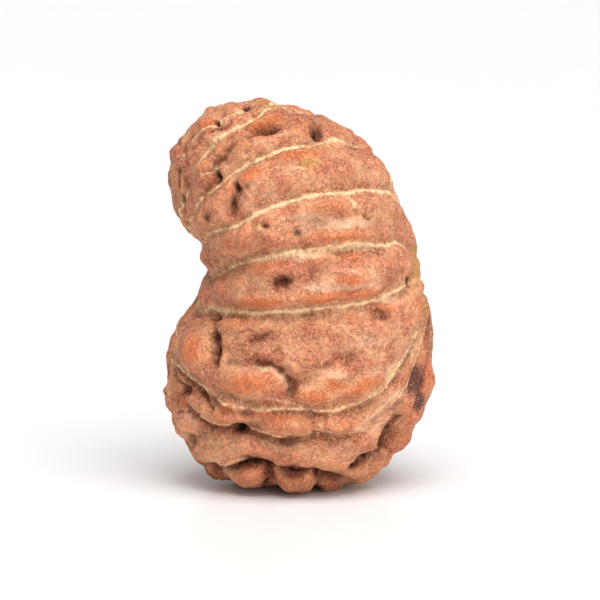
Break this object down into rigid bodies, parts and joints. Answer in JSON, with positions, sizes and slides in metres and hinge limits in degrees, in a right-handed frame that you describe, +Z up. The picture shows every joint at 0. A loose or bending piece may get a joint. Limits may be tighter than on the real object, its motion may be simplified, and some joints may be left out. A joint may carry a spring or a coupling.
{
  "type": "rudraksha bead",
  "caption": "Elongated, bent rudraksha bead with many pillow-like segments between thin raised seams, lying on its narrow side on a small flat worn spot",
  "frame": {"origin": "middle of the bead's box, at the height of the flat spot it rests on", "axes": "+Z up along the longest side, -Y is the front, the right-hand end of the seams points along +X"},
  "size_m": [0.023, 0.0228, 0.0343],
  "materials": {
    "dry_shell": "dry pink-brown woody shell, dusty in the hollows, worn smooth and orange on the knobs, cream seams"
  },
  "bodies": {
    "root": {"rudraksha_bead": "dry_shell"}
  },
  "joints": []
}
